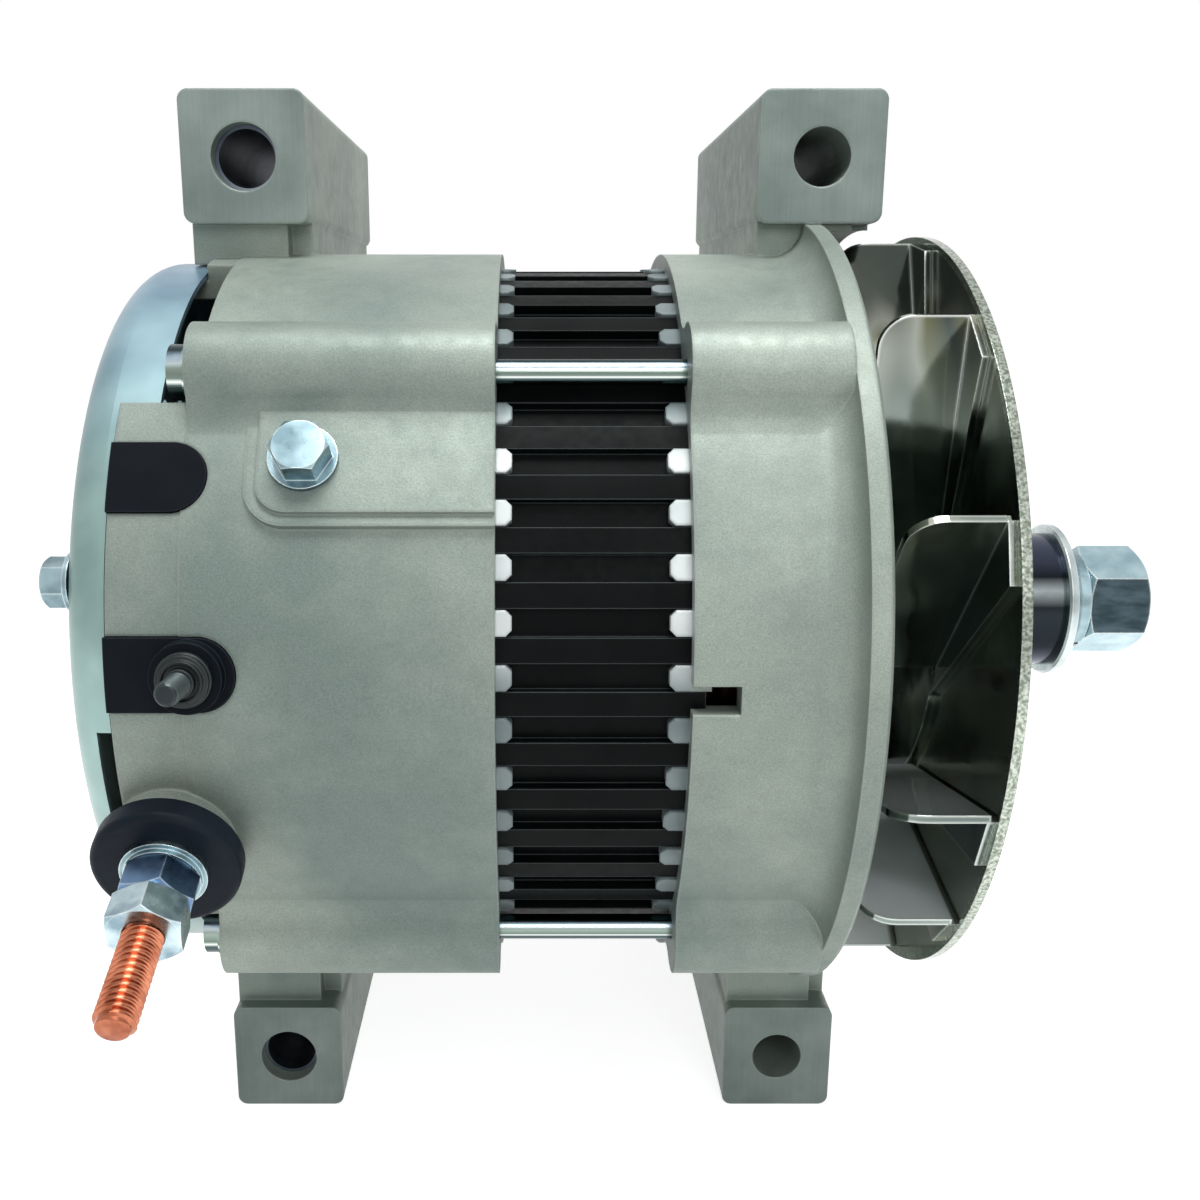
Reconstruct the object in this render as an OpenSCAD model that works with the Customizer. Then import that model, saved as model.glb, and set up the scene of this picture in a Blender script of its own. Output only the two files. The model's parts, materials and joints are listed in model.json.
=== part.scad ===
// Heavy-duty engine alternator, pad mounted, with an external fan at the drive end.
// All lengths are in millimetres. Stations along the shaft are measured from the plane
// midway between the mounting bolts, and +X points to the drive end. The part's origin is the
// centre of the four mounting holes on the plane of the pad faces, which face +Y.

/* [Mounting] */
// Distance between the two rows of mounting bolts, along the shaft
bolt_pitch_x = 131; // [126:0.5:136]
// Distance between the upper and the lower mounting bolts
bolt_pitch_z = 229; // [226:0.5:236]
// Height of the shaft above the middle of the mounting holes
shaft_rise = 7.85; // [5:0.05:9]
// Diameter of the mounting holes
bolt_hole_d = 13; // [11:0.5:13]
// Distance from the shaft to the pad faces
pad_y = 92; // [90:0.5:100]
// Distance from the shaft to the front faces of the lugs
lug_front = 17; // [15:0.5:24]
// Width of a lug, along the shaft
lug_w = 28.5; // [27:0.5:30]
// Height of a lug
lug_h = 29; // [27:0.5:30]
// Corner radius of a lug
lug_round = 2.5; // [1:0.5:4]
// Width of the neck under a lug
neck_w = 22; // [18:0.5:24]
// How far the neck stands back from the lug's front face
neck_back = 4; // [2:0.5:6]
// Outer diameter of the bushes in the rear lugs
bush_d = 14.8; // [14.2:0.1:16]
// Depth of the bushes behind the lug faces
bush_depth = 4; // [1:0.5:8]

/* [Body] */
// Middle of the stator stack, along the shaft
stack_mid = 11.7; // [10:0.1:13]
// Length of the stator stack that shows between the housings
stack_show = 38; // [34:0.5:42]
// Length of the stack that each housing holds
stack_seat = 3; // [2:0.5:4]
// Outer radius of the two housings
body_r = 86; // [85:0.25:88]
// Thickness of the housing wall
wall = 6; // [5:0.5:6.5]
// Radius of the bosses that hold the through bolts
boss_r = 10; // [9:0.5:11]
// Fillet beside each boss
boss_fillet = 9; // [6:0.5:12]
// How far the through bolts' circle lies inside the housings' outer radius
tie_inset = 0.2; // [-0.5:0.1:0.8]
// Diameter of the through bolts
tie_d = 5.4; // [5:0.1:6]
// Length of the front housing, from the stator to its flange face
front_len = 36; // [35:0.5:39]
// Height of the front housing's flange ring over the housing
flange_rise = 7.5; // [7.2:0.1:9]
// Width of the flange ring's outer edge
flange_w = 4.5; // [3:0.5:6]
// Width of the fillet behind the flange ring
flange_cove = 7; // [5:0.5:7]
// Length of the rear housing, from the stator to its rear edge
rear_len = 74; // [73:0.5:76]
// Thickness of each housing's end wall
end_wall = 6; // [4:0.5:7]

/* [Stator] */
// Depth of the stator's ribs below the housings' outer radius
stator_inset = 4; // [3.8:0.1:4.6]
// Number of grooves round the stator, and of slots inside it
groove_n = 48; // [36:12:60]
// Angle of the first groove above the front side
groove_phase = 2.36; // [0:0.01:7.5]
// Width of a groove
groove_w = 5.6; // [4.6:0.1:6]
// Depth of a groove
groove_t = 2.4; // [1.6:0.1:3]
// Depth of the stator's iron, from its ribs to its bore
stack_depth = 20; // [19:0.25:20.5]
// Depth of a winding slot
slot_t = 11.5; // [9:0.5:12]
// Width of a winding slot
slot_w = 4; // [3:0.1:4.5]
// Length of the housing tabs that show at the rear of the stator
tab_rear = 3.2; // [2:0.1:5]
// Length of the housing tabs that show at the front of the stator
tab_front = 4.2; // [2:0.1:6]
// Length of the end turns
end_turns = 15; // [12:0.5:17]

/* [Rotor] */
// Air gap between the poles and the stator
air_gap = 0.5; // [0.3:0.05:1]
// Claws on each pole piece
claw_n = 8; // [6:1:8]
// Length of the rotor's iron
rotor_len = 52; // [48:0.5:54]
// Thickness of each pole disc
pole_disc = 13; // [11:0.5:15]
// Radius of the shaft inside the poles
shaft_r = 13; // [12.8:0.1:14]
// Radius of the shaft's nose
nose_r = 11; // [10:0.25:12]
// Radius of the shaft's thread
thread_r = 8; // [7:0.25:9]
// Radius of the slip rings
ring_r = 14; // [12:0.5:15]
// Width of a slip ring
ring_w = 5.5; // [5:0.25:6]

/* [Bearings] */
// Bore radius of the front bearing
front_bore_r = 12.5; // [12:0.25:12.7]
// Outer radius of the front bearing
front_outer_r = 31; // [30:0.5:32]
// Width of the front bearing
front_bearing_w = 17; // [16:0.5:17]
// Ball radius of the front bearing
front_ball_r = 5.6; // [5:0.1:6]
// Bore radius of the rear bearing
rear_bore_r = 8.5; // [8:0.25:9]
// Outer radius of the rear bearing
rear_outer_r = 20; // [19:0.5:21]
// Width of the rear bearing
rear_bearing_w = 12; // [11:0.5:12]
// Ball radius of the rear bearing
rear_ball_r = 3.4; // [3:0.1:3.8]

/* [Fan and nose] */
// Radius of the fan
fan_r = 90; // [84:0.5:94]
// Thickness of the fan disc
fan_t = 2; // [1.5:0.1:2.5]
// Distance from the flange ring to the fan disc
fan_gap = 24.5; // [22:0.5:26]
// Thickness of the blade star
blade_t = 1.6; // [1.2:0.1:2]
// Height of a blade above the star
blade_h = 18; // [14:0.5:19]
// Angles of the blades, uneven so that the fan hums less
blade_angles = [86, 54.5, 22.8, -16.7, -39.4, -72, -105, -137, -170, 157, 120];
// Lean of each blade from the radius
blade_lean = 26; // [10:1:32]
// Length of a blade
blade_len = 51; // [40:1:54]
// Radius of the spacer sleeve on the nose
spacer_r = 17; // [15:0.5:18]
// Length of the spacer sleeve
spacer_len = 38; // [34:0.5:42]
// Outer radius of the cone washer
cone_r = 19.3; // [18:0.1:22]
// Small radius of the cone washer
cone_top_r = 14.4; // [13.5:0.1:16]
// Thickness of the cone washer
cone_t = 5; // [4:0.1:7]
// Radius of the spring washer
spring_r = 12.6; // [12:0.1:13.4]
// Thickness of the spring washer
spring_t = 3.2; // [3:0.1:5]
// Shaft nut, across its flats
nut_af = 24; // [22:0.5:27]
// Length of the shaft nut
nut_len = 15; // [14:0.1:20]

/* [Rear end] */
// Depth of the rear cover's skirt below the housings' outer radius
cover_inset = 2.2; // [1.8:0.1:2.5]
// Sheet thickness of the rear cover
cover_t = 1.2; // [0.8:0.1:1.5]
// Distance from the housing's rear edge to the cover's back
cover_back = 10; // [9:0.5:14]
// Corner radius of the rear cover
cover_round = 8; // [6:0.5:9]
// Distance of the cover screws from the housings' outer radius
cover_screw_inset = 13.3; // [13:0.1:15]
// Angle of the output terminal, below the front side
output_angle = 21; // [19:0.5:23]
// Diameter of the output stud
output_stud_d = 8; // [7:0.5:8]
// Reach of the output stud beyond the housing
output_reach = 45.5; // [42:0.5:50]
// Radius of the output insulator's flange
output_flange_r = 14.8; // [14:0.1:15.5]
// Diameter of the small stud
signal_stud_d = 5; // [4:0.5:5]
// Reach of the small stud beyond the housing
signal_reach = 18; // [15:0.5:20]

/* [Hidden] */
$fn = 72;

// Clearance of parts that are seated in one another
seat = 0.05;
// Overlap that makes a cut pass right through
cut = 1;

// Stations along the shaft
rear_edge = stack_mid - stack_show / 2;
front_edge = stack_mid + stack_show / 2;
stack_x0 = rear_edge - stack_seat;
stack_x1 = front_edge + stack_seat;
flange_x = front_edge + front_len;
rear_x = rear_edge - rear_len;
chamber_depth = 28;
chamber_x = rear_x + chamber_depth;
inner_wall_x = chamber_x + end_wall;
front_wall_x = flange_x - flange_w - end_wall;
front_bearing_x = front_wall_x - front_bearing_w + 5;
front_bearing_end = front_bearing_x + front_bearing_w;
rear_bearing_x = chamber_x - 2;
rear_bearing_end = rear_bearing_x + rear_bearing_w;
rotor_x0 = stack_mid - rotor_len / 2;
rotor_x1 = stack_mid + rotor_len / 2;
star_x = flange_x + fan_gap - blade_t;
disc_x = star_x + blade_t;
spacer_x = disc_x + fan_t;
cone_x = spacer_x + spacer_len;
spring_x = cone_x + cone_t;
nut_x = spring_x + spring_t;
shaft_end = nut_x + nut_len - 1.5;
cover_x = rear_x - cover_back;

// Radii of the bodies
tie_circle_r = body_r - tie_inset;
flange_r = body_r + flange_rise;
stator_r = body_r - stator_inset;
bore_r = stator_r - stack_depth;
cover_r = body_r - cover_inset;
cover_screw_circle = body_r - cover_screw_inset;
output_tip_r = body_r + output_reach;
signal_tip_r = body_r + signal_reach;
cavity_r = body_r - wall;
chamber_r = body_r - 8;
skirt_step_x = rear_x + 7.5;
skirt_r = body_r - 0.3;
tie_head_x = rear_x + 14;
tie_angles = [45, 135, 225, 315];
pole_r = bore_r - air_gap;
disc_pole_r = pole_r - 9;
core_r = 22;
front_pitch_r = (front_bore_r + front_outer_r) / 2;
rear_pitch_r = (rear_bore_r + rear_outer_r) / 2;

// Lug positions: hole centres above and below the shaft
hole_top = bolt_pitch_z / 2 - shaft_rise;
hole_bottom = -bolt_pitch_z / 2 - shaft_rise;
row_x = bolt_pitch_x / 2;

// Helpers

// Puts geometry drawn round the shaft into the part's frame
module part_frame() translate([0, -pad_y, shaft_rise]) children();

// Turns a profile of radius and station about the shaft
module lathe() rotate([0, 90, 0]) rotate_extrude() children();

// Extrudes a cross-section, drawn in Y and Z, along the shaft
module along(x, length) translate([x, 0, 0]) rotate([90, 0, 90]) linear_extrude(length) children();

// Turns what lies on the front side, towards -Y, up by an angle
module at_angle(a) rotate([-a, 0, 0]) children();

// A cylinder that points out along a radius on the front side
module spoke(x, r0, r1, r) translate([x, -r0, 0]) rotate([90, 0, 0]) cylinder(h = r1 - r0, r = r);

// A cylinder or a tube along the shaft
module rod(x, length, r) translate([x, 0, 0]) rotate([0, 90, 0]) cylinder(h = length, r = r);
module tube(x, length, r_out, r_in)
    difference() {
        rod(x, length, r_out);
        rod(x - cut, length + 2 * cut, r_in);
    }

// A rectangle with round corners, centred
module round_rect(w, h, r) {
    square([w, h - 2 * r], center = true);
    square([w - 2 * r, h], center = true);
    for (sx = [-1, 1], sy = [-1, 1])
        translate([sx * (w / 2 - r), sy * (h / 2 - r)]) circle(r);
}

// A hexagon of a given size across its flats
module hexagon(af) circle(d = af / cos(30), $fn = 6);

// A hexagonal nut or head whose corners are turned off at one or both ends
module hex_body(length, af, both = true) {
    chamfer = af * 0.07;
    intersection() {
        linear_extrude(length) hexagon(af);
        rotate_extrude()
            polygon([[0, 0], [af / 2 + (both ? 0 : af), 0], [af / 2 + chamfer * 1.7, both ? chamfer : 0],
                [af / 2 + chamfer * 1.7, length - chamfer], [af / 2, length], [0, length]]);
    }
}

// A sector between two angles above the front side, drawn in Y and Z
module sector(a0, a1, r) {
    steps = ceil((a1 - a0) / 30);
    polygon(concat([[0, 0]],
        [for (i = [0:steps]) let (a = a0 + (a1 - a0) * i / steps) [-r * cos(a), r * sin(a)]]));
}

// Housings

// Cross-section of one boss for a through bolt, with a fillet on each side
module boss_section(r) {
    reach = r + boss_fillet;
    side = boss_r + boss_fillet;
    spread = acos((pow(tie_circle_r, 2) + pow(reach, 2) - pow(side, 2)) / (2 * tie_circle_r * reach));
    foot = reach * [cos(spread), sin(spread)];
    root = (r - wall / 2) * [cos(spread), sin(spread)];
    translate([tie_circle_r, 0]) circle(boss_r);
    difference() {
        polygon([[root.x, -root.y], [foot.x, -foot.y], [tie_circle_r, 0], foot, root]);
        for (s = [-1, 1]) translate([foot.x, s * foot.y]) circle(boss_fillet + 0.05);
    }
}

module housing_section(r) {
    circle(r);
    for (a = tie_angles) rotate(a) boss_section(r);
}

// Tabs that reach from a housing into the stator's grooves, along +X from the station x
module groove_tabs(x, length) {
    w = groove_w - 0.5;
    c = 1.2;
    r0 = stator_r - groove_t + 0.15;
    for (i = [0:groove_n - 1])
        at_angle(groove_phase + i * 360 / groove_n)
            translate([x, -r0, 0]) rotate([90, 0, 0]) linear_extrude(groove_t + 0.4)
                polygon([[0, -w / 2], [length - c, -w / 2], [length, c - w / 2],
                    [length, w / 2 - c], [length - c, w / 2], [0, w / 2]]);
}

// One mounting lug with its neck; side is 1 above the shaft and -1 below it
module lug(x, z, side) {
    inner_edge = abs(z) - lug_h / 2;
    translate([x, pad_y, z]) rotate([90, 0, 0])
        linear_extrude(pad_y + lug_front) round_rect(lug_w, lug_h, lug_round);
    neck_y = neck_back - lug_front;
    web = [[neck_y, body_r - 24], [neck_y, inner_edge + 2], [pad_y - 3, inner_edge + 2],
        [pad_y - 3, inner_edge - 12], [body_r - 12, body_r - 42], [body_r - 30, body_r - 46]];
    along(x - lug_w / 2 + 0.8, neck_w) polygon([for (p = web) [p.x, side * p.y]]);
    strip = [[neck_y + 5, body_r - 24], [neck_y + 5, inner_edge + 2], [pad_y - 3, inner_edge + 2],
        [pad_y - 3, inner_edge - 12], [body_r - 12, body_r - 42], [body_r - 30, body_r - 46]];
    along(x - lug_w / 2 + neck_w, lug_w - neck_w - 0.8) polygon([for (p = strip) [p.x, side * p.y]]);
}

module lug_holes(x, r)
    for (z = [hole_top, hole_bottom])
        translate([x, pad_y + cut, z]) rotate([90, 0, 0]) cylinder(h = pad_y + lug_front + 2 * cut, r = r);

// Air windows in an end wall, between two radii
module windows(x, length, r0, r1, n, solid) {
    pitch = 360 / n;
    along(x, length)
        intersection() {
            difference() {
                circle(r1);
                circle(r0);
            }
            for (i = [0:n - 1]) sector(i * pitch + solid / 2, (i + 1) * pitch - solid / 2, r1 + 20);
        }
}

module front_housing() color("darkgray") part_frame() {
    hub_r = front_outer_r + 6;
    hub_x = front_bearing_x;
    difference() {
        union() {
            along(front_edge, front_len - flange_w) housing_section(body_r);
            lathe() difference() {
                polygon([[cavity_r, flange_x - flange_w - flange_cove], [body_r, flange_x - flange_w - flange_cove],
                    [flange_r, flange_x - flange_w], [flange_r, flange_x - 0.8], [flange_r - 0.8, flange_x],
                    [cavity_r, flange_x]]);
                translate([body_r + flange_cove, flange_x - flange_w - flange_cove])
                    circle(flange_cove + 0.05);
            }
            lug(row_x, hole_top, 1);
            lug(row_x, hole_bottom, -1);
        }
        rod(flange_x, fan_gap + 10, fan_r + 1.5);
        rod(front_edge - cut, front_wall_x - front_edge + cut, cavity_r);
        rod(front_edge - cut, stack_seat + cut, stator_r + seat);
        rod(front_wall_x - cut, flange_x - front_wall_x + 2 * cut, cavity_r - 2);
        lug_holes(row_x, bolt_hole_d / 2);
        for (a = tie_angles) at_angle(a)
            translate([0, -tie_circle_r, 0]) rod(front_edge - cut, 22 + cut, tie_d / 2 + 0.1);
        translate([front_edge - cut, -body_r - 3, -2.85]) cube([9.3 + cut, 12, 5.7]);
    }
    difference() {
        union() {
            rod(front_wall_x, end_wall, cavity_r - 1);
            rod(hub_x, front_wall_x + end_wall - hub_x, hub_r);
        }
        rod(hub_x - cut, front_bearing_w + cut, front_outer_r + seat);
        rod(hub_x, flange_x - hub_x, front_outer_r - 6);
        windows(front_wall_x - cut, end_wall + 2 * cut, hub_r + 3, cavity_r - 5, 8, 12);
        for (a = [0:90:270]) at_angle(a + 20)
            translate([0, -retainer_circle_r, 0]) rod(hub_x - cut, 12 + cut, 2);
    }
    intersection() {
        groove_tabs_front();
        rod(front_edge - tab_front - cut, tab_front + stack_seat + cut + 1, stator_r + 1);
    }
}

// The front tabs point the other way
module groove_tabs_front() translate([front_edge + stack_seat + 1, 0, 0]) mirror([1, 0, 0])
    groove_tabs(0, tab_front + stack_seat + 1);

module rear_housing() color("darkgray") part_frame() {
    hub_r = rear_outer_r + 6;
    difference() {
        union() {
            along(tie_head_x, rear_edge - tie_head_x + cut) housing_section(body_r);
            difference() {
                rod(rear_x, tie_head_x - rear_x + 2, skirt_r);
                along(rear_x - cut, skirt_step_x - rear_x + cut) difference() {
                    circle(body_r + 10);
                    circle(cover_r - cover_t - 0.3);
                    sector(-41, 40, body_r + 20);
                }
            }
            difference() {
                for (side = [-1, 1]) lug(-row_x, side > 0 ? hole_top : hole_bottom, side);
                rod(rear_x - 12, skirt_step_x - rear_x + 12, cover_r + 0.4);
            }
            pad();
            intersection() {
                at_angle(-output_angle) spoke(output_x, body_r - 10, output_seat_r, output_flange_r - 2.5);
                rod(rear_x, 60, body_r + 20);
            }
        }
        rod(rear_edge, 3, body_r + 20);
        rod(chamber_x - cut, rear_edge - chamber_x + 2 * cut, cavity_r);
        rod(stack_x0, stack_seat + cut, stator_r + seat);
        rod(rear_x - 12, chamber_x - rear_x + 12, chamber_r);
        lug_holes(-row_x, bush_d / 2);
        for (a = tie_angles) at_angle(a) translate([0, -tie_circle_r, 0])
            rod(rear_x - cut, rear_len + 2 * cut, tie_d / 2 + 0.3);
        along(rear_x - 10, tie_head_x - rear_x + 10) for (a0 = [40, -75, 105, -140]) intersection() {
            circle(tie_circle_r + 8);
            sector(a0, a0 + 35, body_r + 20);
        }
        at_angle(plug_angle) plug_shape(plug_len, plug_h, body_r - 12, body_r + 6);
        at_angle(signal_angle) plug_shape(signal_len, signal_h, body_r - 12, body_r + 6);
        at_angle(-output_angle) spoke(output_x, body_r - 14, output_seat_r + 4, output_neck_r + seat);
        at_pad_bolt() spoke(pad_bolt_x, body_r - 14, body_r + 4, 3.1);
    }
    difference() {
        union() {
            rod(chamber_x, end_wall, cavity_r + 1);
            rod(rear_bearing_x, rear_bearing_w + 3, hub_r);
            for (a = cover_screw_angles) at_angle(a)
                translate([0, -cover_screw_circle, 0]) rod(cover_x + cover_t, chamber_x - cover_x, 4.5);
        }
        rod(rear_bearing_x - cut, rear_bearing_w + cut, rear_outer_r + seat);
        rod(rear_bearing_x, rear_bearing_w + 3 + cut, rear_outer_r - 3);
        difference() {
            windows(chamber_x - cut, end_wall + 2 * cut, hub_r + 4, cavity_r - 18, 8, 14);
            for (a = sink_screw_angles) at_angle(a) translate([0, -wall_boss_r, 0])
                rod(chamber_x - 2 * cut, end_wall + 4 * cut, 5);
            for (a = sink_screw_angles) at_angle(a)
                translate([chamber_x - 2 * cut, 16 - cavity_r, -3])
                    cube([end_wall + 4 * cut, cavity_r - 16 - hub_r, 6]);
        }
        for (a = cover_screw_angles) at_angle(a)
            translate([0, -cover_screw_circle, 0]) rod(cover_x, 14, 2.6);
    }
    groove_tabs(stack_x0 - 1, stack_seat + 1 + tab_rear);
}

// Raised pad on the rear housing, with a lower border round it
pad_angle = 33.3;
pad_x0 = -53;
pad_bolt_x = -44;
pad_bolt_drop = 3.5;
pad_half = 14.5;
pad_top_r = body_r + 1.3;
module at_pad_bolt() at_angle(pad_angle) translate([0, 0, -pad_bolt_drop]) children();
module pad() at_angle(pad_angle) {
    pad_plate(pad_x0, pad_half, pad_top_r, 6);
    pad_plate(pad_x0 - 2.4, pad_half + 2.4, body_r + 0.2, 8);
}

// A plate with round corners at its rear end, tangent to the front side
module pad_plate(x0, half, top_r, r)
    translate([0, -body_r + 6, 0]) rotate([90, 0, 0]) linear_extrude(top_r - body_r + 6) {
        translate([x0 + r, -half]) square([rear_edge + cut - x0 - r, 2 * half]);
        translate([x0, -half + r]) square([r + 1, 2 * (half - r)]);
        for (s = [-1, 1]) translate([x0 + r, s * (half - r)]) circle(r);
    }

// Openings at the housing's rear edge: a slot with a round end, open to the rear
plug_angle = 29;
plug_len = 18.8;
plug_h = 14.6;
signal_angle = 3.4;
signal_len = 24.8;
signal_h = 15;
signal_x = -65.5;
module plug_shape(length, h, r0, r1, gap = 0, start = -2)
    translate([rear_x, -r0, 0]) rotate([90, 0, 0]) linear_extrude(r1 - r0) {
        translate([start, gap - h / 2]) square([length - h / 2 - start, h - 2 * gap]);
        translate([length - h / 2, 0]) circle(h / 2 - gap);
    }

module mount_bushings() color("lightslategray") part_frame()
    for (z = [hole_top, hole_bottom])
        translate([-row_x, 0, z]) rotate([90, 0, 0]) difference() {
            translate([0, 0, -pad_y]) cylinder(h = pad_y + lug_front - bush_depth, r = bush_d / 2 - seat);
            translate([0, 0, -pad_y - cut])
                cylinder(h = pad_y + lug_front + 2 * cut, r = bolt_hole_d / 2);
        }

module stator_core() color("#1c1c1e") part_frame()
    along(stack_x0, stack_x1 - stack_x0) difference() {
        circle(stator_r);
        circle(bore_r);
        for (i = [0:groove_n - 1]) rotate(180 - groove_phase - i * 360 / groove_n)
            translate([stator_r - groove_t, -groove_w / 2]) square([groove_t + cut, groove_w]);
        for (i = [0:groove_n - 1]) rotate(180 - groove_phase - (i + 0.5) * 360 / groove_n)
            translate([bore_r - cut, -slot_w / 2]) square([slot_t + cut, slot_w]);
    }

module stator_winding() color("peru") part_frame() {
    r0 = bore_r + 1.5;
    r1 = bore_r + slot_t - 0.3;
    along(stack_x0 - 3, stack_x1 - stack_x0 + 6)
        for (i = [0:groove_n - 1]) rotate(180 - groove_phase - (i + 0.5) * 360 / groove_n)
            translate([r0, 0.2 - slot_w / 2]) square([r1 - r0, slot_w - 0.4]);
    for (x = [stack_x0 - 2 - end_turns, stack_x1 + 2]) lathe() {
        translate([(r0 + r1) / 2 + 0.5, x + end_turns / 2])
            round_rect(r1 - r0 + 1, end_turns, 3.5);
    }
}

module through_bolts() color("silver") part_frame()
    for (a = tie_angles) at_angle(a) translate([0, -tie_circle_r, 0]) {
        rod(tie_head_x, front_edge + 20 - tie_head_x, tie_d / 2);
        rod(tie_head_x - 1.4, 1.4, 6.4);
        rod(tie_head_x - 4.6, 3.3, 5.6);
    }

// Rear cover

cover_screw_angles = [15.8, 135.8, 255.8];
module rear_cover() color("powderblue") part_frame() {
    skirt_x = skirt_step_x - 0.3;
    difference() {
        lathe() difference() {
            union() {
                translate([0, cover_x + cover_round]) square([cover_r, skirt_x - cover_x - cover_round]);
                translate([0, cover_x]) square([cover_r - cover_round, cover_round + 1]);
                translate([cover_r - cover_round, cover_x + cover_round]) circle(cover_round);
            }
            union() {
                r = cover_round - cover_t;
                translate([-1, cover_x + cover_round])
                    square([cover_r - cover_t + 1, skirt_x - cover_x - cover_round + 1]);
                translate([-1, cover_x + cover_t]) square([cover_r - cover_round + 1, cover_round + 1]);
                translate([cover_r - cover_round, cover_x + cover_round]) circle(r);
            }
            translate([-100, cover_x - 50]) square([100, 200]);
        }
        along(rear_x - 0.8, 20) sector(-6, 40.5, cover_r + 20);
        along(rear_x - 3.7, 20) sector(-41.5, -5, cover_r + 20);
        for (a = cover_screw_angles) at_angle(a)
            translate([0, -cover_screw_circle, 0]) rod(cover_x - cut, cover_t + 2 * cut, 3.2);
        for (i = [0:23]) at_angle(i * 15 + 7.5)
            translate([cover_x - cut, 0, 0]) rotate([90, 0, 90]) linear_extrude(cover_t + 2 * cut)
                translate([-42, 0]) round_rect(20, 3.4, 1.6);
    }
}

module cover_screws() color("silver") part_frame()
    for (a = cover_screw_angles) at_angle(a) translate([0, -cover_screw_circle, 0]) {
        rod(cover_x, 12, 2.5);
        rod(cover_x - 1, 1, 6);
        translate([cover_x - 1, 0, 0]) rotate([0, -90, 0]) hex_body(4.9, 9, false);
    }

module pad_bolt() color("silver") part_frame() at_pad_bolt() {
    spoke(pad_bolt_x, body_r - 9, pad_top_r + 1, 3);
    spoke(pad_bolt_x, pad_top_r, pad_top_r + 1.2, 6.8);
    translate([pad_bolt_x, -pad_top_r - 1.2, 0]) rotate([90, 0, 0]) hex_body(5.2, 10, false);
}

// Terminals

module blanking_plug() color("#151518") part_frame() at_angle(plug_angle)
    intersection() {
        plug_shape(plug_len, plug_h, chamber_r + 0.5, body_r + 2, 0.15, -0.3);
        rod(rear_x - 2, 40, body_r + 0.4);
    }

module signal_insulator() color("#151518") part_frame() at_angle(signal_angle) difference() {
    union() {
        intersection() {
            plug_shape(signal_len, signal_h, chamber_r + 0.5, body_r + 6, 0.15, -0.3);
            rod(rear_x - 2, 40, body_r + 0.6);
        }
        spoke(signal_x, body_r - 2, body_r + 3, 7);
    }
    spoke(signal_x, body_r - 12, body_r + 10, signal_stud_d / 2 + seat);
}

module signal_collar() color("#2a2a2e") part_frame() at_angle(signal_angle) difference() {
    union() {
        spoke(signal_x, body_r + 3, body_r + 4.4, 5.4);
        translate([signal_x, -body_r - 4.4, 0]) rotate([90, 0, 0]) hex_body(4, 8, true);
    }
    spoke(signal_x, body_r, body_r + 12, signal_stud_d / 2 + seat);
}

module signal_stud() color("#3a3a3e") part_frame() at_angle(signal_angle) {
    spoke(signal_x, chamber_r - 2.5, signal_free_r + 0.1, signal_stud_d / 2 - 0.4);
    spoke(signal_x, signal_free_r, signal_tip_r - 0.6, signal_stud_d / 2);
    spoke(signal_x, signal_tip_r - 0.7, signal_tip_r, signal_stud_d / 2 - 0.6);
    spoke(signal_x, chamber_r - 2.5, chamber_r + 0.5, 5);
}

signal_free_r = body_r + 9;

// The output terminal stands on the radius at output_angle below the front side
output_x = -72;
output_seat_r = body_r + 3;
output_flange_t = 6;
output_neck_r = 7;
output_base_r = output_seat_r + output_flange_t;
output_nut_af = 14;
washer_t = 2.2;
nut_t = 7;
module at_output() at_angle(-output_angle) children();

module output_insulator() color("#17171a") part_frame() at_output() difference() {
    translate([output_x, -output_seat_r, 0]) rotate([90, 0, 0]) rotate_extrude() {
        square([output_flange_r - 1.5, output_flange_t]);
        translate([0, 1.5]) square([output_flange_r, output_flange_t - 3]);
        for (z = [1.5, output_flange_t - 1.5]) translate([output_flange_r - 1.5, z]) circle(1.5);
        translate([0, -14]) square([output_neck_r, 14.5]);
    }
    spoke(output_x, body_r - 20, output_base_r + cut, output_stud_d / 2 + seat);
}

module output_washers() color("silver") part_frame() at_output() difference() {
    union() {
        spoke(output_x, output_base_r, output_base_r + washer_t / 2, 8.6);
        spoke(output_x, output_base_r + washer_t / 2, output_base_r + washer_t, 7.6);
    }
    spoke(output_x, output_base_r - cut, output_base_r + washer_t + cut, output_stud_d / 2 + seat);
}

module output_nut(r0, turn) at_output() difference() {
    translate([output_x, -r0, 0]) rotate([90, 0, 0]) rotate(turn) hex_body(nut_t, output_nut_af);
    spoke(output_x, r0 - cut, r0 + nut_t + cut, output_stud_d / 2 + seat);
}

module output_lower_nut() color("slategray") part_frame() output_nut(output_base_r + washer_t, 12);
module output_upper_nut() color("silver") part_frame() output_nut(output_base_r + washer_t + nut_t, 24);

module output_stud() color("chocolate") part_frame() at_output() {
    spoke(output_x, output_head_r, output_free_r + 0.1, output_stud_d / 2 - 0.4);
    spoke(output_x, output_free_r, output_tip_r - 0.8, output_stud_d / 2);
    spoke(output_x, output_tip_r - 0.9, output_tip_r, output_stud_d / 2 - 0.8);
    spoke(output_x, output_head_r - 3, output_head_r, 6);
}
output_head_r = body_r - 17.2;
output_free_r = output_base_r + washer_t + 2 * nut_t + 0.5;

// Rectifier, regulator and brushes, in the chamber behind the rear end wall

wall_boss_r = chamber_r - 34;
diode_r = chamber_r - 21;
sink_t = 3.5;
sink_gap = 3;
negative_x = chamber_x - sink_t;
positive_x = negative_x - sink_gap - sink_t;
sink_r0 = 30;
sink_r1 = chamber_r - 9;
sink_a0 = 128;
sink_a1 = 325;
diode_angles = [for (i = [0:5]) 142 + 33 * i];
sink_screw_angles = [for (i = [0:2]) 158.5 + 66 * i];

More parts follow.
